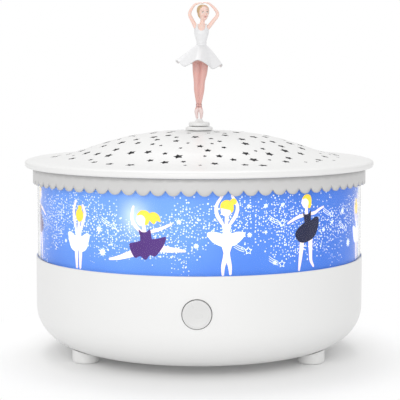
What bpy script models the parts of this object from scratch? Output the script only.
"""Star-projector music lamp with a turning dancer: the working model, one solid for each piece.

Metres, +Z up. The floor is Z = 0, the turning axis is X = Y = 0 and the push button faces -Y.
"""
import math

import bmesh
import bpy
from mathutils import Matrix, Vector

MM = 0.001
GAP = 0.3 * MM                  # clearance kept between pieces that touch on the real object
ROUND = 40                      # sides of the large round pieces
SMALL = 14                      # sides of the small round pieces
OFF_EDGE = 0.21                 # turn of a cutter, so its corners miss the edges of what it cuts

# ---- driving dimensions: casing ----------------------------------------------------------------
BASE_R = 80.2 * MM
BASE_LOW = 4.0 * MM             # underside of the base, held off the floor by the feet
BASE_TOP = 47.9 * MM
CORNER_WIDE = 24.0 * MM         # the rounded lower corner is a quarter ellipse
CORNER_HIGH = 20.0 * MM
BASE_WALL = 2.2 * MM
FOOT_R = 6.5 * MM
FOOT_RING_R = 62.0 * MM
DECK_LOW = 44.0 * MM
DECK_TOP = 46.4 * MM
WINDOW_R = 79.4 * MM
WINDOW_WALL = 1.0 * MM
FILM_R = 78.0 * MM
FILM_WALL = 0.4 * MM
RIM_R = 85.5 * MM
RIM_LOW = 92.0 * MM
RIM_TOP = 95.1 * MM
LID_WALL = 2.0 * MM
LID_POST_RING_R = 68.0 * MM
SKIRT_R = 81.5 * MM
SKIRT_WALL = 0.9 * MM
SCALLOPS = 74
SCALLOP_TIP = 84.1 * MM
SCALLOP_NOTCH = 86.5 * MM
STAR_HOLES = 18

# ---- driving dimensions: button and works ------------------------------------------------------
BUTTON_R = 6.5 * MM
BUTTON_Z = 31.7 * MM
BUTTON_FACE = 81.2 * MM         # distance of the cap's face from the turning axis
CELL_R = 7.1 * MM
CELL_LENGTH = 50.5 * MM
CELL_PITCH = 15.2 * MM
CELL_ROW_Y = 29.5 * MM
CELL_Z = 14.2 * MM
TRAY_TOP = 24.4 * MM
SPEAKER_AT = (-28.0 * MM, -26.0 * MM)

MODULE = 0.6 * MM               # gear tooth module
WHEEL_TEETH = 24
PINION_TEETH = 8
PLAY = 0.15 * MM                # added to each centre distance, so the teeth run free
CENTRES = MODULE * (WHEEL_TEETH + PINION_TEETH) / 2 + PLAY
AXLE_A_WAY = math.radians(-60)  # directions from spindle to A, from A to B and from B to the motor
AXLE_B_WAY = math.radians(-10)
MOTOR_WAY = math.radians(-100)
SPINDLE_R = 1.5 * MM
AXLE_R = 0.8 * MM
SHAFT_R = 0.75 * MM

# ---- driving dimensions: pedestal and dancer ---------------------------------------------------
LID_CROWN = 109.1 * MM
COLLAR_R = 6.7 * MM
COLLAR_TOP = 111.2 * MM
PEDESTAL_R = 5.2 * MM
PEDESTAL_TOP = 114.9 * MM
TOES_Z = 115.2 * MM
TUTU_R = 11.8 * MM
WAIST_X = 1.6 * MM               # the dancer leans a little to +X above the hips
HANDS_TOP = 172.2 * MM


# pieces with so many cuts that the exact solver leaves gaps in them
MANY_CUTS = ("base_shell", "deck_plate", "lid_dome", "gearbox_base")


# ---- tools -------------------------------------------------------------------------------------
def start_empty():
    """Clear the scene and make one collection for the pieces and one for the cutters."""
    for obj in list(bpy.data.objects):
        bpy.data.objects.remove(obj, do_unlink=True)
    made = []
    for name in ("star_music_lamp", "cutters"):
        group = bpy.data.collections.new(name)
        bpy.context.scene.collection.children.link(group)
        made.append(group)
    return made


PIECES, CUTTERS = start_empty()


def finish_of(name, colour, roughness, metallic=0.0):
    """One Principled material."""
    made = bpy.data.materials.new(name)
    made.use_nodes = True
    shader = made.node_tree.nodes["Principled BSDF"]
    shader.inputs["Base Color"].default_value = (*colour, 1.0)
    shader.inputs["Roughness"].default_value = roughness
    shader.inputs["Metallic"].default_value = metallic
    return made


WHITE = finish_of("white_plastic", (0.90, 0.90, 0.89), 0.35)
CLEAR = finish_of("clear_plastic", (0.80, 0.86, 0.95), 0.08)
PRINT = finish_of("printed_film", (0.16, 0.32, 0.85), 0.30)
BLACK = finish_of("black_plastic", (0.03, 0.03, 0.03), 0.45)
GREY = finish_of("grey_plastic", (0.45, 0.46, 0.48), 0.45)
NYLON = finish_of("gear_nylon", (0.88, 0.86, 0.78), 0.40)
STEEL = finish_of("bright_steel", (0.62, 0.62, 0.63), 0.25, 1.0)
BRASS = finish_of("brass", (0.75, 0.58, 0.28), 0.30, 1.0)
BOARD = finish_of("circuit_board", (0.03, 0.22, 0.08), 0.45)
CELL = finish_of("cell_jacket", (0.10, 0.28, 0.14), 0.35)
LED = finish_of("led_lens", (0.90, 0.92, 0.95), 0.10)
CARD = finish_of("speaker_cone", (0.06, 0.06, 0.06), 0.80)
WIRE = finish_of("wire_cover", (0.65, 0.08, 0.06), 0.45)
SKIN = finish_of("dancer_skin", (0.80, 0.50, 0.43), 0.45)
HAIR = finish_of("dancer_hair", (0.62, 0.52, 0.40), 0.50)
DRESS = finish_of("dancer_dress", (0.86, 0.86, 0.88), 0.40)


def add(name, mesh, finish):
    """An object for a mesh: with a finish it is a piece, without one it is a cutter."""
    obj = bpy.data.objects.new(name, mesh)
    if finish is None:
        CUTTERS.objects.link(obj)
        obj.hide_render = True
        obj.display_type = "WIRE"
    else:
        PIECES.objects.link(obj)
        mesh.materials.append(finish)
    return obj


def turned(name, profile, finish, at=(0, 0, 0), steps=SMALL, ring=False, way="Z"):
    """A turned solid. The profile (radius, height) runs down its outer side; a ring's closes on itself."""
    count = len(profile)
    edges = [(i, i + 1) for i in range(count - 1)]
    if ring:
        edges.append((count - 1, 0))
    mesh = bpy.data.meshes.new(name)
    mesh.from_pydata([(radius, 0, height) for radius, height in profile], edges, [])
    obj = add(name, mesh, finish)
    obj.location = at
    if way == "X":
        obj.rotation_euler = (0, math.pi / 2, 0)
    if way == "-Y":
        obj.rotation_euler = (math.pi / 2, 0, 0)
    turn = obj.modifiers.new("turn", "SCREW")
    turn.steps = steps
    turn.render_steps = steps
    turn.use_merge_vertices = True
    turn.merge_threshold = 0.00001
    turn.use_smooth_shade = True
    return obj


def rod(name, radius, low, high, finish, at=(0, 0), steps=SMALL, way="Z"):
    """A plain round bar between two heights."""
    profile = [(0, high), (radius, high), (radius, low), (0, low)]
    return turned(name, profile, finish, (*at, 0), steps, way=way)


def tube(name, outer, inner, low, high, finish, steps=ROUND):
    """A plain round pipe about the turning axis."""
    profile = [(outer, high), (outer, low), (inner, low), (inner, high)]
    return turned(name, profile, finish, steps=steps, ring=True)


def block(name, low, high, finish):
    """A box between two corners."""
    shape = bmesh.new()
    bmesh.ops.create_cube(shape, size=1.0)
    size = Vector(high) - Vector(low)
    middle = (Vector(high) + Vector(low)) / 2
    bmesh.ops.transform(shape, matrix=Matrix.Diagonal((*size, 1.0)), verts=shape.verts)
    mesh = bpy.data.meshes.new(name)
    shape.to_mesh(mesh)
    shape.free()
    obj = add(name, mesh, finish)
    obj.location = middle
    return obj


def round_edges(obj, width):
    """Soften the sharp edges of a piece."""
    bevel = obj.modifiers.new("edges", "BEVEL")
    bevel.width = width
    bevel.segments = 2
    bevel.limit_method = "ANGLE"


def meshed(name, curve, finish, height=0.0):
    """The closed mesh of a curve, with its caps welded on."""
    drawn = bpy.data.objects.new(name + "_drawn", curve)
    bpy.context.scene.collection.objects.link(drawn)
    drawn.location.z = height
    bpy.context.view_layer.update()
    mesh = bpy.data.meshes.new_from_object(drawn.evaluated_get(bpy.context.evaluated_depsgraph_get()))
    shape = bmesh.new()
    shape.from_mesh(mesh)
    bmesh.ops.remove_doubles(shape, verts=shape.verts, dist=0.000001)
    shape.to_mesh(mesh)
    shape.free()
    mesh.materials.clear()
    obj = add(name, mesh, finish)
    obj.matrix_world = drawn.matrix_world
    bpy.data.objects.remove(drawn, do_unlink=True)
    return obj


def cut_out(name, outlines, low, high, finish):
    """A flat plate with the given outlines; an outline inside another is a hole."""
    curve = bpy.data.curves.new(name, "CURVE")
    curve.dimensions = "2D"
    curve.fill_mode = "BOTH"
    curve.extrude = (high - low) / 2
    for outline in outlines:
        spline = curve.splines.new("POLY")
        spline.points.add(len(outline) - 1)
        spline.use_cyclic_u = True
        for point, (x, y) in zip(spline.points, outline):
            point.co = (x, y, 0, 1)
    return meshed(name, curve, finish, (high + low) / 2)


def along(name, stations, finish, resolution=2):
    """A round bar along a line of (x, y, z, radius) stations."""
    curve = bpy.data.curves.new(name, "CURVE")
    curve.dimensions = "3D"
    curve.bevel_depth = 1.0
    curve.bevel_resolution = resolution
    curve.use_fill_caps = True
    spline = curve.splines.new("POLY")
    spline.points.add(len(stations) - 1)
    for point, (x, y, z, radius) in zip(spline.points, stations):
        point.co = (x, y, z, 1)
        point.radius = radius
    return meshed(name, curve, finish)


def circle(radius, centre=(0, 0), sides=12):
    """The points of a circle."""
    return [(centre[0] + radius * math.cos(math.tau * i / sides),
             centre[1] + radius * math.sin(math.tau * i / sides)) for i in range(sides)]


def smooth_line(points, steps=3):
    """Points along a smooth curve through the given ones."""
    ends = [points[0]] + list(points) + [points[-1]]
    line = []
    for before, start, end, after in zip(ends, ends[1:], ends[2:], ends[3:]):
        for step in range(steps):
            t = step / steps
            line.append(tuple(
                0.5 * (2 * b + (c - a) * t + (2 * a - 5 * b + 4 * c - d) * t ** 2
                       + (3 * b - a - 3 * c + d) * t ** 3)
                for a, b, c, d in zip(before, start, end, after)))
    line.append(tuple(points[-1]))
    return line


def boolean(obj, tool, operation):
    """One boolean; the tool stays in the file as a cutter."""
    made = obj.modifiers.new(tool.name, "BOOLEAN")
    made.operation = operation
    made.solver = "MANIFOLD" if obj.name in MANY_CUTS else "EXACT"
    made.object = tool


def drill(obj, radius, low, high, at, steps=12):
    """A round hole straight down through a piece."""
    tool = rod(f"{obj.name}_hole_{len(obj.modifiers)}", radius, low, high, None, at, steps)
    tool.rotation_euler.z = OFF_EDGE
    boolean(obj, tool, "DIFFERENCE")


def join_post(obj, radius, low, high, at, steps=12):
    """A round post made in one with a piece."""
    tool = rod(f"{obj.name}_post_{len(obj.modifiers)}", radius, low, high, None, at, steps)
    tool.rotation_euler.z = OFF_EDGE
    boolean(obj, tool, "UNION")


def around(radius, degrees):
    """The point at a radius and an angle about the turning axis."""
    return (radius * math.cos(math.radians(degrees)), radius * math.sin(math.radians(degrees)))


def screw(name, at, head, tip, head_radius, shank_radius, head_height=1.6 * MM):
    """A screw from its head's outer face to its tip, either way up."""
    top, low = max(head, tip), min(head, tip)
    if head > tip:
        neck = head - head_height
        profile = [(0, top), (head_radius, top), (head_radius, neck), (shank_radius, neck),
                   (shank_radius, low), (0, low)]
    else:
        neck = head + head_height
        profile = [(0, top), (shank_radius, top), (shank_radius, neck), (head_radius, neck),
                   (head_radius, low), (0, low)]
    return turned(name, profile, STEEL, (*at, 0), steps=8)


# ---- casing ------------------------------------------------------------------------------------
FOOT_ANGLES = {"foot_front_left": -150, "foot_front_right": -30, "foot_back": 90}
LID_POST_ANGLES = (30, 150, -90)
CORNER_R = BASE_R - CORNER_WIDE          # radius of the flat underside
CORNER_Z = BASE_LOW + CORNER_HIGH        # height where the straight side starts
TRAY_X = 29.3 * MM
BAY_Y = (CELL_ROW_Y - 22.6 * MM, CELL_ROW_Y + 22.6 * MM)
BAY_X = 27.0 * MM
EAR_X = 36.5 * MM                        # the battery cover has an ear for its screw
EAR_Y = (CELL_ROW_Y - 4.0 * MM, CELL_ROW_Y + 4.0 * MM)
COVER_SCREW_AT = (32.5 * MM, CELL_ROW_Y)
GEAR_POSTS = ((-4.5 * MM, -24.5 * MM), (22.5 * MM, 0.5 * MM))


def corner(inset, steps=5):
    """The rounded lower corner, from the side down to the underside, moved in by the inset."""
    return [(CORNER_R + (CORNER_WIDE - inset) * math.cos(math.pi / 2 * i / steps),
             CORNER_Z - (CORNER_HIGH - inset) * math.sin(math.pi / 2 * i / steps))
            for i in range(steps + 1)]


def t_outline(inset):
    """The outline of the battery bay's opening with its ear, moved in by the inset."""
    left, right, ear = -BAY_X + inset, BAY_X - inset, EAR_X - inset
    low, high = BAY_Y[0] + inset, BAY_Y[1] - inset
    ear_low, ear_high = EAR_Y[0] + inset, EAR_Y[1] - inset
    return [(left, low), (right, low), (right, ear_low), (ear, ear_low),
            (ear, ear_high), (right, ear_high), (right, high), (left, high)]


def make_base():
    """The turned base with its screw posts, board slot, battery opening and sound slots."""
    floor_top = BASE_LOW + BASE_WALL
    inner = [(0, floor_top)] + corner(BASE_WALL)[::-1]
    outer = [(BASE_R, BASE_TOP)] + corner(0.0) + [(0, BASE_LOW)]
    inner.append((BASE_R - BASE_WALL, BASE_TOP))
    base = turned("base_shell", inner + outer, WHITE, steps=ROUND)
    for degrees in FOOT_ANGLES.values():
        join_post(base, 4.2 * MM, 6.0 * MM, DECK_LOW - GAP, around(FOOT_RING_R, degrees))
    for at in GEAR_POSTS:
        join_post(base, 3.0 * MM, 5.0 * MM, 19.7 * MM, at)
    slot_block = block("switch_slot_block", (-12 * MM, -67.5 * MM, 7 * MM),
                       (12 * MM, -63.0 * MM, 15 * MM), None)
    boolean(base, slot_block, "UNION")
    slot = block("switch_slot", (-10.3 * MM, -66.3 * MM, 11 * MM), (10.3 * MM, -64.1 * MM, 20 * MM), None)
    boolean(base, slot, "DIFFERENCE")
    for degrees in FOOT_ANGLES.values():
        drill(base, 1.5 * MM, 2 * MM, 46 * MM, around(FOOT_RING_R, degrees))
        drill(base, 3.2 * MM, 2 * MM, 8 * MM, around(FOOT_RING_R, degrees))
    for at in GEAR_POSTS:
        drill(base, 1.3 * MM, 9 * MM, 25 * MM, at)
    opening = cut_out("battery_opening", [t_outline(0.0)], 2 * MM, 9 * MM, None)
    boolean(base, opening, "DIFFERENCE")
    for index in range(5):
        x = SPEAKER_AT[0] + (index - 2) * 5 * MM
        half = (12 - 1.5 * abs(index - 2)) * MM
        slit = block(f"sound_slit_{index}", (x - MM, SPEAKER_AT[1] - half, 2 * MM),
                     (x + MM, SPEAKER_AT[1] + half, 9 * MM), None)
        boolean(base, slit, "DIFFERENCE")
    hole = rod("button_hole", BUTTON_R + GAP, 70 * MM, 90 * MM, None, steps=24, way="-Y")
    hole.location = (0, 0, BUTTON_Z)
    boolean(base, hole, "DIFFERENCE")


def make_feet():
    """Three short round feet whose tops follow the base's rounded corner."""
    profile = [(0, 9 * MM), (FOOT_R, 9 * MM), (FOOT_R, 1.6 * MM), (6.1 * MM, 0.5 * MM),
               (5.3 * MM, 0), (0, 0)]
    seat = turned("foot_seat", [(0, 30 * MM), (BASE_R + GAP, 30 * MM)] + corner(-GAP)
                  + [(0, BASE_LOW - GAP)], None, steps=ROUND)
    for name, degrees in FOOT_ANGLES.items():
        foot = turned(name, profile, WHITE, (*around(FOOT_RING_R, degrees), 0))
        boolean(foot, seat, "DIFFERENCE")


def make_deck():
    """The deck that closes the base, with the ring that holds the film and two board hangers."""
    ring_out, ring_in = FILM_R - FILM_WALL - 0.4 * MM, FILM_R - FILM_WALL - 1.4 * MM
    edge = BASE_R - BASE_WALL - 0.4 * MM
    profile = [(ring_out, 51 * MM), (ring_out, DECK_TOP), (edge, DECK_TOP), (edge, DECK_LOW),
               (2.2 * MM, DECK_LOW), (2.2 * MM, DECK_TOP), (ring_in, DECK_TOP), (ring_in, 51 * MM)]
    deck = turned("deck_plate", profile, WHITE, steps=ROUND, ring=True)
    for x, y in ((-58, -9), (-34, 19)):
        join_post(deck, 2.0 * MM, 33.9 * MM, 45 * MM, (x * MM, y * MM), 8)
    for degrees in FOOT_ANGLES.values():
        drill(deck, 1.3 * MM, 40 * MM, 50 * MM, around(FOOT_RING_R, degrees))
    for degrees in LID_POST_ANGLES:
        drill(deck, 1.3 * MM, 40 * MM, 50 * MM, around(LID_POST_RING_R, degrees))
    drill(deck, 1.6 * MM, 40 * MM, 50 * MM, (-30 * MM, 6 * MM))


def make_picture_band():
    """The clear cylinder and the printed film behind it."""
    low, high = BASE_TOP + GAP, RIM_LOW - GAP
    tube("band_window", WINDOW_R, WINDOW_R - WINDOW_WALL, low, high, CLEAR)
    tube("picture_film", FILM_R, FILM_R - FILM_WALL, low, high, PRINT)


def star(radius, centre, turn):
    """A five-pointed star outline."""
    return [(centre[0] + radius * (1.0, 0.45)[i % 2] * math.cos(turn + math.pi * i / 5),
             centre[1] + radius * (1.0, 0.45)[i % 2] * math.sin(turn + math.pi * i / 5))
            for i in range(10)]


def make_lid():
    """The rimmed dome with star holes, a locating ring for the window and three screw posts."""
    dome = [(3.7, LID_CROWN / MM), (20, 108.6), (35, 106.3), (44, 104.0), (51, 101.9), (57, 99.8),
            (62, 98.3), (68, 97.0), (76, 96.2)]
    outer = [(r * MM, z * MM) for r, z in dome]
    rim_middle = (RIM_LOW + RIM_TOP) / 2
    rim = [(RIM_R - 1.3 * MM, RIM_TOP), (RIM_R, rim_middle), (RIM_R - 0.9 * MM, RIM_LOW)]
    ring_out = FILM_R - FILM_WALL - 0.4 * MM
    ring = [(ring_out, RIM_LOW), (ring_out, 88 * MM), (ring_out - 1.3 * MM, 88 * MM),
            (ring_out - 1.3 * MM, 93.6 * MM)]
    under = [(r, z - LID_WALL) for r, z in outer[-2::-2]] + [(outer[0][0], outer[0][1] - LID_WALL)]
    lid = turned("lid_dome", outer + rim + ring + under, WHITE, steps=ROUND, ring=True)
    for degrees in LID_POST_ANGLES:
        at = around(LID_POST_RING_R, degrees)
        join_post(lid, 3.2 * MM, DECK_TOP + GAP, 95.4 * MM, at)
    for degrees in LID_POST_ANGLES:
        drill(lid, 1.3 * MM, 40 * MM, 58 * MM, around(LID_POST_RING_R, degrees))
    golden = math.pi * (3 - math.sqrt(5))
    outlines = []
    for index in range(STAR_HOLES):
        share = (index + 0.5) / STAR_HOLES
        radius = math.sqrt(13 ** 2 + share * (60 ** 2 - 13 ** 2)) * MM
        turn = golden * index + OFF_EDGE
        centre = (radius * math.cos(turn), radius * math.sin(turn))
        outlines.append(star((2.0 + 0.4 * (index % 3)) * MM, centre, turn))
    boolean(lid, cut_out("star_cutters", outlines, 90 * MM, 115 * MM, None), "DIFFERENCE")


def make_skirt():
    """The thin ring of scallops that hangs under the rim."""
    columns = 2 * SCALLOPS
    shape = bmesh.new()
    bmesh.ops.create_cone(shape, cap_ends=False, segments=columns, radius1=SKIRT_R, radius2=SKIRT_R,
                          depth=2 * MM)
    for vert in shape.verts:
        if vert.co.z > 0:
            vert.co.z = RIM_LOW - GAP
            continue
        column = round(math.atan2(vert.co.y, vert.co.x) / math.tau * columns) % 2
        vert.co.z = SCALLOP_NOTCH if column == 0 else SCALLOP_TIP
    mesh = bpy.data.meshes.new("scalloped_skirt")
    shape.to_mesh(mesh)
    shape.free()
    skirt = add("scalloped_skirt", mesh, WHITE)
    wall = skirt.modifiers.new("wall", "SOLIDIFY")
    wall.thickness = SKIRT_WALL
    wall.offset = -1.0


def make_case_screws():
    """Screws for the deck, from under the feet, and for the lid, from under the deck."""
    for index, degrees in enumerate(FOOT_ANGLES.values(), 1):
        screw(f"deck_screw_{index}", around(FOOT_RING_R, degrees), 6.0 * MM, 46.0 * MM, 2.7 * MM, 1.0 * MM)
    for index, degrees in enumerate(LID_POST_ANGLES, 1):
        at = around(LID_POST_RING_R, degrees)
        screw(f"lid_screw_{index}", at, DECK_LOW - GAP - 1.6 * MM, 56 * MM, 2.6 * MM, 1.0 * MM)


# ---- power -------------------------------------------------------------------------------------
def make_battery_bay():
    """The tray over the three cells, its contacts, the cover in the underside and the cover's screw."""
    low = BASE_LOW + BASE_WALL + 1.0 * MM        # clear of the floor's rising edge at the corners
    tray = block("battery_tray", (-TRAY_X, BAY_Y[0] - 1.9 * MM, low),
                 (TRAY_X, BAY_Y[1] + 1.9 * MM, TRAY_TOP), GREY)
    ear = block("tray_ear", (TRAY_X - MM, EAR_Y[0] - MM, low), (EAR_X + 1.5 * MM, EAR_Y[1] + MM, 15 * MM), None)
    boolean(tray, ear, "UNION")
    cavity = block("tray_cavity", (-TRAY_X + 1.5 * MM, BAY_Y[0] - 0.4 * MM, 0),
                   (TRAY_X - 1.5 * MM, BAY_Y[1] + 0.4 * MM, TRAY_TOP - 1.5 * MM), None)
    boolean(tray, cavity, "DIFFERENCE")
    drill(tray, 1.2 * MM, 0, 13 * MM, COVER_SCREW_AT)
    for side, name in ((-1, "battery_contact_left"), (1, "battery_contact_right")):
        near, far = side * 26.7 * MM, side * 27.5 * MM
        block(name, (min(near, far), BAY_Y[0] + MM, 8 * MM), (max(near, far), BAY_Y[1] - MM, 20 * MM), STEEL)
    half = CELL_LENGTH / 2
    profile = [(0, half), (2.7 * MM, half), (2.7 * MM, half - 1.2 * MM), (CELL_R, half - 1.2 * MM),
               (CELL_R, -half), (0, -half)]
    for index in range(3):
        at = (0, CELL_ROW_Y + (index - 1) * CELL_PITCH, CELL_Z)
        cell = turned(f"battery_cell_{index + 1}", profile, CELL, at, way="X")
        if index == 1:
            cell.rotation_euler = (0, -math.pi / 2, 0)
    cover = cut_out("battery_cover", [t_outline(GAP)], BASE_LOW + 0.2 * MM, BASE_LOW + 2.0 * MM, WHITE)
    drill(cover, 1.2 * MM, 0, 9 * MM, COVER_SCREW_AT)
    drill(cover, 2.5 * MM, 0, BASE_LOW + 1.3 * MM, COVER_SCREW_AT)
    screw("battery_cover_screw", COVER_SCREW_AT, BASE_LOW + 0.2 * MM, 12 * MM, 2.1 * MM, 0.9 * MM,
          head_height=0.8 * MM)


# ---- drive -------------------------------------------------------------------------------------
def away(start, way):
    """The next shaft of the train, one centre distance away."""
    return (start[0] + CENTRES * math.cos(way), start[1] + CENTRES * math.sin(way))


SPINDLE_AT = (0.0, 0.0)
AXLE_A_AT = away(SPINDLE_AT, AXLE_A_WAY)
AXLE_B_AT = away(AXLE_A_AT, AXLE_B_WAY)
MOTOR_AT = away(AXLE_B_AT, MOTOR_WAY)


def gear_outline(teeth, centre, phase):
    """The outline of a spur gear, one tooth of it centred on the phase angle."""
    pitch_r = MODULE * teeth / 2
    root_r, tip_r = pitch_r - 1.25 * MODULE, pitch_r + 0.9 * MODULE
    root_half, tip_half = 0.90 * MODULE, 0.30 * MODULE
    points = []
    for tooth in range(teeth):
        middle = phase + math.tau * tooth / teeth
        for radius, side in ((root_r, -root_half), (tip_r, -tip_half), (tip_r, tip_half), (root_r, root_half)):
            angle = middle + math.asin(side / radius)
            points.append((centre[0] + radius * math.cos(angle), centre[1] + radius * math.sin(angle)))
    return points


def meshing_phase(teeth, phase, other_teeth, way):
    """The phase that puts the other gear's gap over this gear's tooth on the line of centres."""
    share = teeth * (way - phase) / math.tau
    return way + math.pi - math.tau * (0.5 - share) / other_teeth


def make_gear(name, teeth, centre, phase, low, high, bore):
    """One plain gear with a round bore."""
    outlines = [gear_outline(teeth, centre, phase), circle(bore, centre)]
    return cut_out(name, outlines, low, high, NYLON)


def make_compound(name, centre, pinion_phase, pinion_low, pinion_high, wheel_low, wheel_high):
    """A wheel and a pinion moulded in one, with their origin on the axle."""
    bore = AXLE_R + GAP
    gear = make_gear(name, WHEEL_TEETH, centre, 0.0, wheel_low, wheel_high, bore)
    outlines = [gear_outline(PINION_TEETH, centre, pinion_phase), circle(bore, centre)]
    boolean(gear, cut_out(name + "_pinion", outlines, pinion_low, pinion_high, None), "UNION")
    return gear


def own_origin(obj, at):
    """Put a piece's origin on its turning axis, without moving the piece."""
    shift = Vector((*at, 0))
    obj.data.transform(Matrix.Translation(-shift))
    obj.location = Vector(obj.location) + shift


def make_drive():
    """The motor and the gear train up to the dancer's spindle, between two plates."""
    phase_a = meshing_phase(WHEEL_TEETH, 0.0, PINION_TEETH, AXLE_A_WAY)
    phase_b = meshing_phase(WHEEL_TEETH, 0.0, PINION_TEETH, AXLE_B_WAY)
    phase_m = meshing_phase(WHEEL_TEETH, 0.0, PINION_TEETH, MOTOR_WAY)
    make_gear("spindle_gear", WHEEL_TEETH, SPINDLE_AT, 0.0, 33 * MM, 36 * MM, SPINDLE_R + GAP)
    gear_a = make_compound("gear_a", AXLE_A_AT, phase_a, 31 * MM, 36.5 * MM, 28.5 * MM, 31.5 * MM)
    gear_b = make_compound("gear_b", AXLE_B_AT, phase_b, 26.5 * MM, 32 * MM, 24 * MM, 27 * MM)
    pinion = make_gear("motor_pinion", PINION_TEETH, MOTOR_AT, phase_m, 23.6 * MM, 27.4 * MM, SHAFT_R + GAP)
    own_origin(gear_a, AXLE_A_AT)
    own_origin(gear_b, AXLE_B_AT)
    own_origin(pinion, MOTOR_AT)
    left, right, front, back = -8.5 * MM, 26.5 * MM, -29 * MM, 4.6 * MM
    sheet = [(left, front), (right, front), (right, back), (left, back)]
    axle_hole = AXLE_R + GAP
    holes = [circle(axle_hole, AXLE_A_AT, 8), circle(axle_hole, AXLE_B_AT, 8)]
    under = holes + [circle(3.5 * MM, SPINDLE_AT), circle(3.4 * MM, MOTOR_AT)]
    lower = cut_out("gearbox_base", [sheet] + under, 20 * MM, 22 * MM, BLACK)
    for at in GEAR_POSTS:
        join_post(lower, 2.6 * MM, 21 * MM, 38 * MM, at)
    for at in GEAR_POSTS:
        drill(lower, 1.3 * MM, 15 * MM, 42 * MM, at)
    over = holes + [circle(2.2 * MM, SPINDLE_AT)] + [circle(1.3 * MM, at) for at in GEAR_POSTS]
    cut_out("gearbox_cover", [sheet] + over, 38.3 * MM, 40.3 * MM, BLACK)
    for index, at in enumerate(GEAR_POSTS, 1):
        screw(f"gearbox_screw_{index}", at, 42.2 * MM, 10 * MM, 2.4 * MM, 1.0 * MM)
    rod("axle_a", AXLE_R, 20.3 * MM, 39.9 * MM, STEEL, AXLE_A_AT, 8)
    rod("axle_b", AXLE_R, 20.3 * MM, 39.9 * MM, STEEL, AXLE_B_AT, 8)
    turned("motor_can", [(0, 17 * MM), (1.05 * MM, 17 * MM), (1.05 * MM, 21.6 * MM), (3 * MM, 21.6 * MM),
                         (3 * MM, 19.7 * MM), (12.2 * MM, 19.7 * MM), (12.2 * MM, 7.4 * MM), (0, 7.4 * MM)],
           STEEL, (*MOTOR_AT, 0), steps=18)
    rod("motor_shaft", SHAFT_R, 17.3 * MM, 27.8 * MM, STEEL, MOTOR_AT, 8)
    rod("spindle", SPINDLE_R, 20.4 * MM, 112.8 * MM, STEEL, steps=12)
    tube("spindle_bush", 3.2 * MM, SPINDLE_R + GAP, 20 * MM, 24 * MM, BRASS, steps=12)
    turned("spindle_tube", [(4 * MM, 103.2 * MM), (4 * MM, 75.7 * MM), (9 * MM, 75.7 * MM),
                            (9 * MM, 74.2 * MM), (4 * MM, 73 * MM), (4 * MM, 48.2 * MM), (7 * MM, 48.2 * MM),
                            (7 * MM, DECK_TOP + GAP), (2.2 * MM, DECK_TOP + GAP), (2.2 * MM, 103.2 * MM)],
           WHITE, ring=True, steps=12)
    flange = LID_CROWN + GAP
    bore = SPINDLE_R + GAP
    turned("top_bush", [(COLLAR_R - 0.4 * MM, COLLAR_TOP), (COLLAR_R, COLLAR_TOP - 0.4 * MM),
                        (COLLAR_R, flange), (3.3 * MM, flange), (3.3 * MM, 103.6 * MM),
                        (bore, 103.6 * MM), (bore, COLLAR_TOP)],
           WHITE, ring=True, steps=18)


# ---- light, sound and switch -------------------------------------------------------------------
def make_electrics():
    """The LED board, the speaker over its slots, the main board and the push switch."""
    tube("led_board", 26 * MM, 4.4 * MM, 76.0 * MM, 77.6 * MM, BOARD, steps=24)
    for index, degrees in enumerate((90, 210, 330), 1):
        dome = [(2.5 * math.sin(a) * MM, (83.5 + 2.5 * math.cos(a)) * MM) for a in (0, 0.8, 1.57)]
        profile = dome + [(2.5 * MM, 79 * MM), (2.9 * MM, 79 * MM), (2.9 * MM, 77.9 * MM), (0, 77.9 * MM)]
        turned(f"led_{index}", profile, LED, (*around(17 * MM, degrees), 0), steps=12)
    x, y = SPEAKER_AT
    turned("speaker_frame", [(r * MM, z * MM) for r, z in (
        (12, 14.2), (15.8, 8.4), (17, 8.4), (17, 6.6), (14.9, 6.6), (14.9, 8), (11, 13), (6, 13), (6, 14.2))],
        BLACK, (x, y, 0), steps=16, ring=True)
    turned("speaker_cone", [(r * MM, z * MM) for r, z in (
        (0, 12.5), (3, 12.5), (14.3, 7.9), (14.3, 7), (13.5, 7), (2.7, 11.4), (0, 11.4))],
        CARD, (x, y, 0), steps=16)
    rod("speaker_magnet", 9 * MM, 14.5 * MM, 19 * MM, STEEL, SPEAKER_AT, 16)
    block("main_board", (-63 * MM, -14 * MM, 32 * MM), (-29 * MM, 24 * MM, 33.6 * MM), BOARD)
    round_edges(block("sound_chip", (-52 * MM, 4 * MM, 29.6 * MM), (-42 * MM, 14 * MM, 31.7 * MM), BLACK),
                0.3 * MM)
    flange_out, flange_in = 77.0 * MM, 75.5 * MM
    cap = turned("button_cap", [(0, BUTTON_FACE), (BUTTON_R - 1.0 * MM, BUTTON_FACE - 0.2 * MM),
                                (BUTTON_R, BUTTON_FACE - 0.9 * MM), (BUTTON_R, flange_out),
                                (8 * MM, flange_out), (8 * MM, flange_in), (0, flange_in)],
                 WHITE, (0, 0, BUTTON_Z), steps=24, way="-Y")
    switch_face = 71.0 * MM
    rod("switch_plunger", 1.7 * MM, switch_face - 2.2 * MM, flange_in - GAP, BLACK, steps=12,
        way="-Y").location = cap.location
    body = block("switch_body", (-4.5 * MM, -switch_face, BUTTON_Z - 4.5 * MM),
                 (4.5 * MM, -66.3 * MM, BUTTON_Z + 4.5 * MM), BLACK)
    well = rod("switch_well", 2.0 * MM, switch_face - 4.1 * MM, switch_face + 2 * MM, None, way="-Y")
    well.location = cap.location
    boolean(body, well, "DIFFERENCE")
    block("switch_board", (-10 * MM, -66 * MM, 11.3 * MM), (10 * MM, -64.4 * MM, 38.5 * MM), BOARD)


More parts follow.
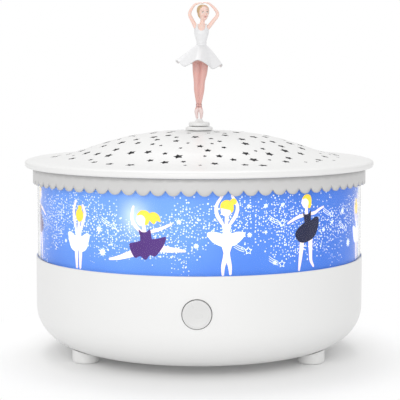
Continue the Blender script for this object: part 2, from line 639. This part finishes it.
def make_leads():
    """The wires that stay inside the casing, each along its whole route."""
    out = 12.6 * MM
    start = (MOTOR_AT[0] - out * math.cos(0.6), MOTOR_AT[1] + out * math.sin(0.6))
    routes = {
        "motor_lead": [(start[0] / MM, start[1] / MM, 13), (-3, -8, 14.5), (-10, -3, 18), (-20, -2, 25),
                       (-30, -1, 29), (-36, 1, 30.3), (-36.5, 1, 31.7)],
        "speaker_lead": [(-28, -26, 19.3), (-28.5, -25, 22), (-33, -20, 26), (-40, -13, 28.5),
                         (-44, -9, 30), (-44.5, -8, 31.7)],
        "led_lead": [(-38, 8, 33.9), (-35, 8, 38), (-30, 6, 43), (-30, 6, 47), (-29, 6, 55), (-22, 5, 66),
                     (-19, 4, 75.7)]}
    for name, route in routes.items():
        line = smooth_line([(x * MM, y * MM, z * MM) for x, y, z in route], 2)
        along(name, [(*point, 0.6 * MM) for point in line], WIRE)


# ---- dancer ------------------------------------------------------------------------------------
def make_dancer():
    """The turning pedestal and the figure: legs and torso, arms over the head, head with bun, tutu."""
    bore = SPINDLE_R + GAP
    low = COLLAR_TOP + GAP
    turned("pedestal", [(0, PEDESTAL_TOP), (1.6 * MM, PEDESTAL_TOP), (2.3 * MM, 114.2 * MM),
                        (3.9 * MM, 113.4 * MM), (PEDESTAL_R, 113.1 * MM), (PEDESTAL_R, low), (bore, low),
                        (bore, 113.1 * MM), (0, 113.1 * MM)], WHITE, steps=18)
    body = [(0.2, 0, TOES_Z / MM, 0.9), (0.1, 0, 116.6, 1.8), (0, 0, 118.2, 2.1), (-0.1, 0, 119.8, 1.5),
            (-0.1, 0, 121.5, 1.3), (0, 0, 127, 2.1), (0.3, 0, 133, 2.7), (0.6, 0, 143, 3.9),
            (0.9, 0, 148, 3.6), (1.2, 0, 151.5, 2.3), (1.3, 0, 155.5, 3.0), (1.4, 0, 158.8, 2.8),
            (1.5, 0, 160.7, 1.6), (1.7, 0, 162.2, 1.3)]
    along("dancer_body", [tuple(v * MM for v in station) for station in body], SKIN)
    top = HANDS_TOP / MM - 0.85
    left = [(-2.7, 0, 159.6, 1.15), (-3.7, 0, 161.6, 1.2), (-5.1, 0, 165.3, 0.95), (-3.6, 0, 168.4, 0.8),
            (0.4, 0, top - 0.3, 0.7)]
    right = [(3.0, 0, top, 0.85), (5.4, 0, top - 0.5, 0.75), (8.3, 0, 168.2, 0.8), (9.3, 0, 165.2, 0.95),
             (7.5, 0, 161.6, 1.2), (5.9, 0, 159.6, 1.15)]
    along("dancer_arms", [tuple(v * MM for v in station) for station in left + right], SKIN)
    head = bmesh.new()
    bmesh.ops.create_uvsphere(head, u_segments=12, v_segments=8, radius=1.0)
    bmesh.ops.transform(head, matrix=Matrix.Diagonal((2.9 * MM, 3.0 * MM, 3.4 * MM, 1.0)), verts=head.verts)
    mesh = bpy.data.meshes.new("dancer_head")
    head.to_mesh(mesh)
    head.free()
    skull = add("dancer_head", mesh, HAIR)
    skull.location = (1.9 * MM, 0, 166.3 * MM)
    bun = along("hair_bun", [(1.2 * MM, 2.0 * MM, 167.5 * MM, 1.5 * MM),
                             (0.9 * MM, 4.2 * MM, 168.2 * MM, 1.3 * MM)], None)
    boolean(skull, bun, "UNION")
    make_tutu()


def make_tutu():
    """The short bell skirt with broad folds."""
    folds, columns = 9, 27
    rings = [(3.1, 151.2), (5.0, 149.6), (8.6, 146.2), (11.0, 141.6)]
    shape = bmesh.new()
    edge = []
    first = [shape.verts.new((rings[0][0] * MM, 0, rings[0][1] * MM))]
    for radius, height in rings[1:]:
        first.append(shape.verts.new((radius * MM, 0, height * MM)))
    for start, end in zip(first, first[1:]):
        edge.append(shape.edges.new((start, end)))
    bmesh.ops.spin(shape, geom=first + edge, cent=(0, 0, 0), axis=(0, 0, 1), angle=math.tau,
                   steps=columns, use_merge=True)
    for vert in shape.verts:
        angle = math.atan2(vert.co.y, vert.co.x)
        radius = math.hypot(vert.co.x, vert.co.y)
        depth = 0.8 * MM * max(0.0, (radius - 4 * MM) / (TUTU_R - 4 * MM))
        scale = (radius + depth * math.cos(folds * angle)) / radius
        lean = WAIST_X * (TUTU_R - radius) / TUTU_R
        vert.co.x = vert.co.x * scale + lean
        vert.co.y *= scale
    bmesh.ops.recalc_face_normals(shape, faces=shape.faces)
    mesh = bpy.data.meshes.new("dancer_tutu")
    shape.to_mesh(mesh)
    shape.free()
    tutu = add("dancer_tutu", mesh, DRESS)
    wall = tutu.modifiers.new("wall", "SOLIDIFY")
    wall.thickness = 0.7 * MM
    wall.offset = 1.0


make_base()
make_feet()
make_deck()
make_picture_band()
make_lid()
make_skirt()
make_case_screws()
make_battery_bay()
make_drive()
make_electrics()
make_leads()
make_dancer()
